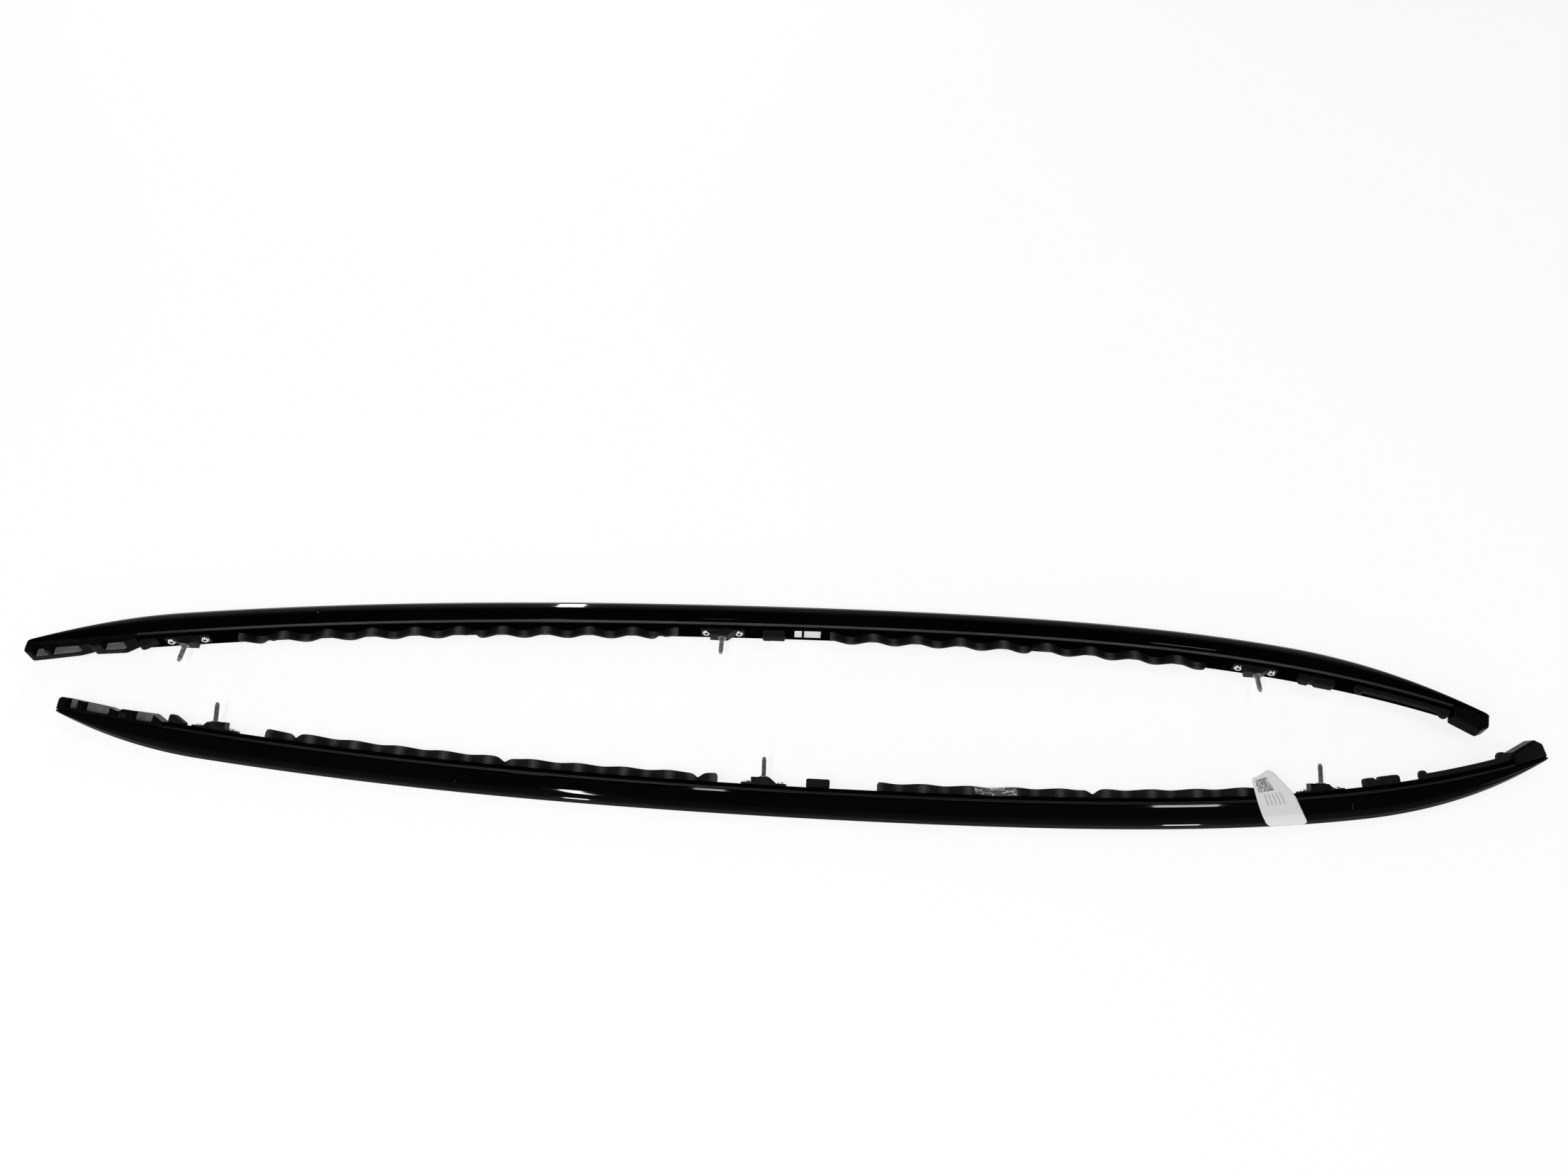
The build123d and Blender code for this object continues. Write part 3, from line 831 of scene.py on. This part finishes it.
class RAILS_OT_stage(bpy.types.Operator):
    """Sets the pale floor, the soft light, the lamps and the camera"""

    bl_idname = "rails.stage"
    bl_label = "Stage"

    def execute(self, context):
        st = context.scene.rail_stage
        context.scene.view_settings.view_transform = "Standard"
        self.floor(context, context.scene.rail_colours)
        self.world(context)
        self.lamps(context, st)
        self.camera(context, st)
        return {"FINISHED"}

    def floor(self, context, c):
        """A flat sheet on the floor level, brighter to the eye than to the light that bounces off
        it."""
        line = np.linspace(-FLOOR_REACH, FLOOR_REACH, FLOOR_LINES)
        u, v = np.meshgrid(line, line, indexing="ij")
        points = np.stack([u, v, np.full_like(u, FLOOR_LEVEL)], -1).reshape(-1, 3)
        faces = grid_faces(FLOOR_LINES, FLOOR_LINES, False)
        mesh = bpy.data.meshes.new("pale_floor")
        mesh.from_pydata(points.tolist(), [], faces.tolist())
        material = bpy.data.materials.new("pale_floor")
        material.use_nodes = True
        tree = material.node_tree
        tree.nodes.remove(tree.nodes["Principled BSDF"])
        start = Shade(tree)
        seen = start.make("LightPath", out="Is Camera Ray")
        for ray in ("Is Glossy Ray", "Is Transmission Ray"):
            seen = start.math("MAXIMUM", seen, start.make("LightPath", out=ray))
        matt = start.make("BsdfDiffuse", None, {"Color": (*c.floor, 1.0)})
        white = start.make("Emission", None, {"Color": (*WHITE, 1.0), "Strength": FLOOR_GLOW})
        shown = start.make("MixShader", None, {0: seen * FLOOR_SHARE, 1: matt, 2: white})
        tree.links.new(shown.socket, tree.nodes["Material Output"].inputs["Surface"])
        mesh.materials.append(material)
        floor = bpy.data.objects.new("pale_floor", mesh)
        context.scene.collection.objects.link(floor)

    def world(self, context):
        """Soft light, dim overhead and brighter towards the horizon, and white to the eye."""
        world = bpy.data.worlds.new("soft_room")
        context.scene.world = world
        world.use_nodes = True
        tree = world.node_tree
        start = Shade(tree)
        up = start.make("TexCoord", out="Generated").axis(2)
        ramp = start.make("ValToRGB", {"stops": SKY}, {0: up})
        shown = start.make("LightPath", out="Is Camera Ray").mix(ramp, WHITE)
        tree.links.new(shown.socket, tree.nodes["Background"].inputs["Color"])
        tree.nodes["Background"].inputs["Strength"].default_value = 1.0

    def lamps(self, context, st):
        """Rectangular lamps that face the rails, each with one side along X."""
        for name, spot_on, aim, distance, wide, deep, share in LAMPS:
            z = unit(np.array(aim))
            x = unit(np.array([1.0, 0.0, 0.0]) - z * z[0])
            y = np.cross(z, x)
            light = bpy.data.lights.new(name, "AREA")
            light.shape = "RECTANGLE"
            light.size = wide
            light.size_y = deep
            light.energy = st.lamp_radiance * share * math.pi * wide * deep
            lamp = bpy.data.objects.new(name, light)
            lamp.matrix_world = turned_to(np.stack([x, y, z], 1), np.array(spot_on) + z * distance)
            context.scene.collection.objects.link(lamp)

    def camera(self, context, st):
        """The camera's right, up and backward directions from its elevation, turn and roll."""
        e, a, r = st.camera_elevation, st.camera_turn, st.camera_roll
        forward = np.array([-math.sin(a) * math.cos(e), math.cos(a) * math.cos(e), -math.sin(e)])
        right = np.array([math.cos(a), math.sin(a), 0.0])
        under = np.cross(forward, right)
        rolled_right = right * math.cos(r) + under * math.sin(r)
        rolled_under = under * math.cos(r) - right * math.sin(r)
        axes = np.stack([rolled_right, -rolled_under, -forward], 1)
        data = bpy.data.cameras.new("photo_camera")
        data.lens = st.camera_lens
        data.sensor_fit = "HORIZONTAL"
        data.sensor_width = SENSOR_WIDTH
        data.clip_end = CLIP_END
        camera = bpy.data.objects.new("photo_camera", data)
        camera.matrix_world = turned_to(axes, st.camera_place)
        context.scene.collection.objects.link(camera)
        context.scene.camera = camera


class Step:
    """What the building steps share: a build from the sizes and the colours."""

    def execute(self, context):
        self.build(context.scene.rail_sizes, context.scene.rail_colours)
        return {"FINISHED"}


class RAILS_OT_profiles(Step, bpy.types.Operator):
    """Builds the gloss profiles: a rounded section carried along the bow and tapered at its tips"""

    bl_idname = "rails.profiles"
    bl_label = "Gloss profiles"

    def build(self, s, c):
        x = self.rows(s)
        ring = self.tipped(s, x, self.section(s, x))
        points = on_rail(s, x[:, None], ring[..., 0], ring[..., 1])
        share = np.linspace(0, 1, points.shape[1], endpoint=False)
        uv = np.stack(np.broadcast_arrays(x[:, None], share), -1)
        for side in SIDES:
            surface(
                s, side, side + "_gloss_profile", points, gloss_black(s, c, side),
                [side + "_rail_profile"], uv=uv, sharp=50.0,
            )

    def foot_ends(self, s):
        """Where the foot starts and ends, clear of the end mouldings."""
        return s.end_piece_length + s.seat_gap, s.rail_length - s.end_cap_length - s.seat_gap

    def rows(self, s):
        """Places of the outlines: crowded a little towards the tips by a cosine, with a pair at
        each end of the foot and more in the rounded tips."""
        t = np.linspace(0, np.pi, PROFILE_ROWS)
        x = s.rail_length * (EVEN_ROWS * t / np.pi + (1 - EVEN_ROWS) * (1 - np.cos(t)) / 2)
        either = (-FOOT_END_HALF, FOOT_END_HALF)
        steps = [end + half for end in self.foot_ends(s) for half in either]
        extra = s.tip_round * (1 - np.cos(np.linspace(TIP_FIRST_TURN, np.pi / 2, TIP_ROWS)))
        return np.unique(np.concatenate([x, steps, extra, s.rail_length - extra]))

    def tipped(self, s, x, ring):
        """Outlines drawn in towards their middles near the ends, by a share of a quarter circle."""
        kept = 1 - TIP_DRAW * quarter_round(np.minimum(x, s.rail_length - x) / s.tip_round)
        middle = ring.mean(1, keepdims=True)
        return middle + (ring - middle) * kept[:, None, None]

    def section(self, s, x):
        """Outlines of the section at each x in down and out: side face, shoulder, brow, crest,
        inner side and foot, with the heights in step with the tapered crest. Each corner is down,
        out and a radius."""
        full = taper(s, x)
        crest = s.tip_crest_height + (s.crest_height - s.tip_crest_height) * full
        width = s.tip_base_width + (s.base_width - s.tip_base_width) * full
        share = crest / s.crest_height
        rise = s.inner_crest_height * share
        recess = s.seal_setback + s.seal_width + s.seat_gap
        one = np.ones_like(x)
        start, end = self.foot_ends(s)
        footed = (x > start) & (x < end)
        foot = np.where(footed, s.foot_depth, s.foot_trim)
        bend = np.where(footed, ROUND["foot"], ROUND["trimmed_foot"])
        base = np.where(footed, ROUND["base"], ROUND["trimmed_base"])
        edge_bulge = s.face_edge * s.shoulder_bulge / s.shoulder_height + s.face_crown
        table = table_of([
            (0 * one, 0 * one, ROUND["lip"] * share),
            (-s.face_edge * share, edge_bulge * share, ROUND["face"] * share),
            (-s.shoulder_height * share, s.shoulder_bulge * share, ROUND["shoulder"] * share),
            (-s.brow_height * share, s.brow_bulge * share, ROUND["brow"] * share),
            (-crest, -s.crest_inset * one, ROUND["crest"] * share),
            (-rise, rise * math.tan(s.lie_angle) - width, ROUND["inner"] * share),
            (0 * one, -width, base),
            (foot, s.foot_step - width, bend),
            (foot, -recess * one, bend),
            (0 * one, -recess * one, ROUND["recess"] * one),
        ])
        return rounded_ring(table[..., :2], table[..., 2], steps=8)


class RAILS_OT_seals(Step, bpy.types.Operator):
    """Builds the satin edge seals in their recess under the side face"""

    bl_idname = "rails.seals"
    bl_label = "Edge seals"

    def build(self, s, c):
        start, end = s.end_piece_length, s.rail_length - s.end_cap_length
        x = np.linspace(start + SEAL_END_GAP, end - SEAL_END_GAP, SEAL_ROWS)
        near, far = -s.seal_setback, -s.seal_setback - s.seal_width
        top, low = s.seat_gap, s.seat_gap + s.seal_height
        corners = np.array([(top, near), (top, far), (low, far), (low, near)])
        outlines = np.broadcast_to(corners, (len(x), 4, 2))
        ring = rounded_ring(outlines, np.full((len(x), 4), s.seal_round), steps=4)
        points = on_rail(s, x[:, None], ring[..., 0], ring[..., 1])
        uv = carried(points, x)
        for side in SIDES:
            surface(
                s, side, side + "_satin_seal", points, satin_seal(s, c, side),
                [side + "_edge_seal"], uv=uv,
            )


class RAILS_OT_pads(Step, bpy.types.Operator):
    """Builds the winding rubber walls with their rounded notches, and finishes the rubber blocks"""

    bl_idname = "rails.pads"
    bl_label = "Rubber pads"

    def build(self, s, c):
        material = matt_rubber(c)
        studs = stud_places(s)
        for (name, (after, before, notches)), start, end in zip(WALLS.items(), studs, studs[1:]):
            points, uv = self.wall(s, start + after, end - before, notches)
            for side in SIDES:
                node = side + "_" + name
                surface(s, side, node + "_wall", points, material, [node], uv=uv)
        for side in SIDES:
            for name, passes in RUBBER_PASSES.items():
                softened(s, side, name, material, RUBBER_SKIN, passes)

    def wall(self, s, start, end, notches):
        """A wall that winds in and out as a cosine. Its top drops into V-notches: a V rounded as
        the root of a square plus a small square, joined to the level top by a soft minimum."""
        x = np.linspace(start, end, int((end - start) / WALL_ROW) + 1)
        turn = 2 * np.pi * (x - start) / s.pad_period
        winding = s.pad_inset + s.pad_wave * (1 - np.cos(turn)) / 2
        root = s.foot_depth + s.seat_gap + s.notch_root
        steep = (s.pad_depth - root) / s.notch_half_width
        top = s.pad_depth - WALL_DIP * (winding - s.pad_inset) / s.pad_wave
        for share in notches:
            away = x - (start + share * (end - start))
            vee = root + steep * (np.sqrt(away**2 + NOTCH_ROUND**2) - NOTCH_ROUND)
            over = np.clip((top - vee) / NOTCH_SOFT, -EXPONENT_LIMIT, EXPONENT_LIMIT)
            top = top - NOTCH_SOFT * np.log1p(np.exp(over))
        top = top + (s.pad_depth - top.max())
        to_end = np.minimum(x - start, end - x) / WALL_END_ROUND
        top = top - WALL_END_ROUND * quarter_round(to_end)
        seat = np.full_like(x, s.foot_depth - s.seat_sink)
        back = -winding - s.pad_wall
        table = table_of([(seat, -winding), (seat, back), (top, back), (top, -winding)])
        ring = rounded_ring(table, np.broadcast_to(np.array(WALL_EDGES), (len(x), 4)), steps=5)
        points = on_rail(s, x[:, None], ring[..., 0], ring[..., 1])
        return points, carried(points, (x - start) / s.pad_period + WALL_PHASE)


class RAILS_OT_mouldings(Step, bpy.types.Operator):
    """Finishes the moulded end pieces and the pressed brackets"""

    bl_idname = "rails.mouldings"
    bl_label = "Mouldings and brackets"

    def build(self, s, c):
        plastic, steel = moulded_black(c), coated_steel(c)
        for side in SIDES:
            for name, passes in PLASTIC_PASSES.items():
                softened(s, side, name, plastic, PLASTIC_SKIN, passes)
            for name in STATIONS:
                softened(s, side, name + "_bracket", steel, BRACKET_BEVEL)


class RAILS_OT_fasteners(Step, bpy.types.Operator):
    """Builds the threaded studs and finishes the rivets"""

    bl_idname = "rails.fasteners"
    bl_label = "Studs and rivets"

    def build(self, s, c):
        zinc, aluminium = plated_zinc(c), bright_aluminium(s, c)
        for name, x in zip(STATIONS, stud_places(s)):
            points = self.stud(s, x)
            for side in SIDES:
                node = side + "_" + name + "_stud"
                surface(s, side, node + "_thread", points, zinc, [node], sharp=60.0)
        for side in SIDES:
            softened(s, side, "rivets", aluminium, RIVET_BEVEL, seat=False)

    def stud(self, s, x):
        """A turned stud: a radius that goes with the height, from the swaged tail over the collar
        to the dog point, less a thread whose depth is a triangle wave of the height in pitches
        minus the turn."""
        collar, tip = s.collar_thickness, s.stud_length
        low = [
            *STUD_TAIL,
            (0.0, COLLAR_FACE), (COLLAR_EDGE, s.collar_radius),
            (collar - COLLAR_EDGE, s.collar_radius), (collar, COLLAR_FACE), (collar, NECK_RADIUS),
        ]
        top = [(tip - below, radius) for below, radius in STUD_POINT]
        thread = np.linspace(collar + NECK_LENGTH, tip - THREAD_END, THREAD_ROWS)
        full = np.stack([thread, np.full_like(thread, s.stud_radius)], 1)
        height, radius = np.concatenate([low, full, top]).T
        cut = np.concatenate([np.zeros(len(low)), np.ones(len(thread)), np.zeros(len(top))])
        turn = np.linspace(0, 2 * np.pi, TURN_STEPS, endpoint=False)
        phase = (height[:, None] / s.thread_pitch - turn[None, :] / (2 * np.pi)) % 1.0
        wave = np.clip(THREAD_GAIN * np.abs(2 * phase - 1) - THREAD_ROOT, 0, 1)
        r = radius[:, None] - THREAD_DEPTH * cut[:, None] * (1 - wave)
        along, out = r * np.cos(turn), r * np.sin(turn)
        down = s.boss_depth + height[:, None] + np.zeros_like(r)
        middle = np.full_like(r, x)
        return on_rail(s, middle, down, out - s.bracket_middle, along, follow_bow=False)[:, ::-1]


class RAILS_OT_labels(Step, bpy.types.Operator):
    """Lays the paper labels and a scrap of clear film on the rails"""

    bl_idname = "rails.labels"
    bl_label = "Labels and film"

    def build(self, s, c):
        paper = plain_paper(c)
        self.sheet(s, "left", "wrapped_label", self.wrapped(s), paper)
        for name, (start, end) in TAGS.items():
            self.sheet(s, "right", name, self.tag(s, start, end), paper, TAG_SHEET)
        self.sheet(s, "left", "film_scrap", self.scrap(s), clear_film(c))

    def grid(self, rows, columns):
        """Two arrays from 0 to 1, down the rows and across the columns."""
        return np.meshgrid(np.linspace(0, 1, rows), np.linspace(0, 1, columns), indexing="ij")

    def sheet(self, s, side, name, points, material, share=1.0):
        """A thin sheet from a grid of points, with its columns and rows as sheet coordinates from 0
        to a share of 1."""
        down, across = self.grid(*points.shape[:2])
        uv = np.stack([across, down], -1) * share
        piece = surface(
            s, side, side + "_" + name, points, material, closed=False, uv=uv, sharp=60.0
        )
        thickness = piece.modifiers.new("thickness", "SOLIDIFY")
        thickness.thickness = SHEET_THICKNESS
        thickness.offset = -1.0

    def wrapped(self, s):
        """Paper bent over the rail from a free tab by the pad to the crest: between a left and a
        right edge that lean along the rail, at a stand-off drawn through a few points and smoothed.
        Its corners are quarter circles."""
        t, across = self.grid(*LABEL_GRID)
        tab = LABEL_TAB + LABEL_SLANT * across
        down = tab + (LABEL_CREST - tab) * t
        out = sum(np.interp(down + d, *np.transpose(LABEL_BEND)) for d in LABEL_BLUR)
        out = out / len(LABEL_BLUR)
        ripple = LABEL_RIPPLE * np.sin(9 * across + 14 * t) * np.clip(down / LABEL_FREE, 0, 1)
        to_end = np.minimum(tab - down, down - LABEL_CREST) / LABEL_CORNER
        drawn_in = LABEL_CORNER * quarter_round(to_end)
        left = np.interp(down, *np.transpose(LABEL_LEFT)) + drawn_in
        right = np.interp(down, *np.transpose(LABEL_RIGHT)) - drawn_in
        return on_rail(s, left + (right - left) * across, down, out + ripple)

    def tag(self, s, start, end):
        """A flat tag on the under face of the foot."""
        rows, columns = TAG_GRID
        along, across = np.linspace(start, end, rows), np.linspace(*TAG_OUT, columns)
        x, out = np.meshgrid(along, across, indexing="ij")
        return on_rail(s, x, np.full_like(x, s.foot_depth + TAG_LIFT), out)

    def scrap(self, s):
        """Crumpled film by the pad: a level sheet less the folds of three crossing waves."""
        u, v = self.grid(*FILM_GRID)
        waves = (17 * u + 6 * v, 9 * u - 11 * v + 1, 23 * u + 3)
        folds = sum(np.abs(np.sin(wave)) for wave in waves)
        x = FILM_START + FILM_LENGTH * u + FILM_SKEW * np.sin(7 * v)
        down = FILM_TOP + FILM_DROP * v - FILM_SAG * np.sin(3 * u) * (1 - v)
        return on_rail(s, x, down, FILM_OUT - FILM_FOLD * folds)


class RAILS_PT_panel(bpy.types.Panel):
    """Sizes, colours and the steps that build the rails"""

    bl_idname = "RAILS_PT_panel"
    bl_label = "Roof side rails"
    bl_space_type = "VIEW_3D"
    bl_region_type = "UI"
    bl_category = "Rails"

    def draw(self, context):
        layout = self.layout
        for step in STEPS:
            layout.operator(step.bl_idname)
        scene = context.scene
        for group in (scene.rail_colours, scene.rail_stage, scene.rail_sizes):
            box = layout.box()
            for key in group.__annotations__:
                box.prop(group, key, text=key.replace("_", " ").capitalize())


STEPS = (
    RAILS_OT_stage,
    RAILS_OT_profiles,
    RAILS_OT_seals,
    RAILS_OT_pads,
    RAILS_OT_mouldings,
    RAILS_OT_fasteners,
    RAILS_OT_labels,
)
CLASSES = (RailSizes, RailColours, RailStage) + STEPS + (RAILS_PT_panel,)


def register():
    for cls in CLASSES:
        bpy.utils.register_class(cls)
    bpy.types.Scene.rail_sizes = bpy.props.PointerProperty(type=RailSizes)
    bpy.types.Scene.rail_colours = bpy.props.PointerProperty(type=RailColours)
    bpy.types.Scene.rail_stage = bpy.props.PointerProperty(type=RailStage)


def unregister():
    del bpy.types.Scene.rail_sizes, bpy.types.Scene.rail_colours, bpy.types.Scene.rail_stage
    for cls in reversed(CLASSES):
        bpy.utils.unregister_class(cls)


def main():
    register()
    bpy.ops.rails.stage()
    bpy.ops.rails.profiles()
    bpy.ops.rails.seals()
    bpy.ops.rails.pads()
    bpy.ops.rails.mouldings()
    bpy.ops.rails.fasteners()
    bpy.ops.rails.labels()


if __name__ == "__main__":
    main()
